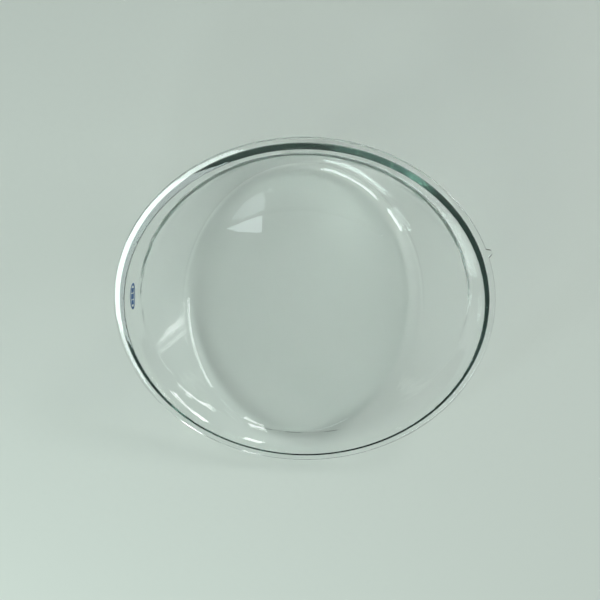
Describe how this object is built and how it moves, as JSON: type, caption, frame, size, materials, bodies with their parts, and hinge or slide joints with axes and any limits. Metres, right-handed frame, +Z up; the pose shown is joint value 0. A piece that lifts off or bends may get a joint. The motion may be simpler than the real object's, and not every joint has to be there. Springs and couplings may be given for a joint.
{
  "type": "washing machine door glass",
  "caption": "Clear pressed-glass bowl with a flanged round mouth, a short sloping collar, a conical wall and a slanted flat end, as used in a front-loading washer door.",
  "frame": {"origin": "centre of the slanted flat end's outer face, which the glass stands on", "axes": "-Z out of the flat end, so +Z is up as it stands; +Y towards the side where the mouth is highest; +X across, along the mouth's level diameter"},
  "size_m": [0.3876, 0.3599, 0.2089],
  "materials": {
    "clear_glass": "clear pressed and tempered soda-lime glass, fire-polished, faintly green, darker green where seen edge-on",
    "blue_enamel": "thin dark blue enamel stamp fired onto the slope inside the mouth, below the collar, satin, in the visual model only"
  },
  "bodies": {
    "root": {"door_glass": "clear_glass"}
  },
  "joints": []
}
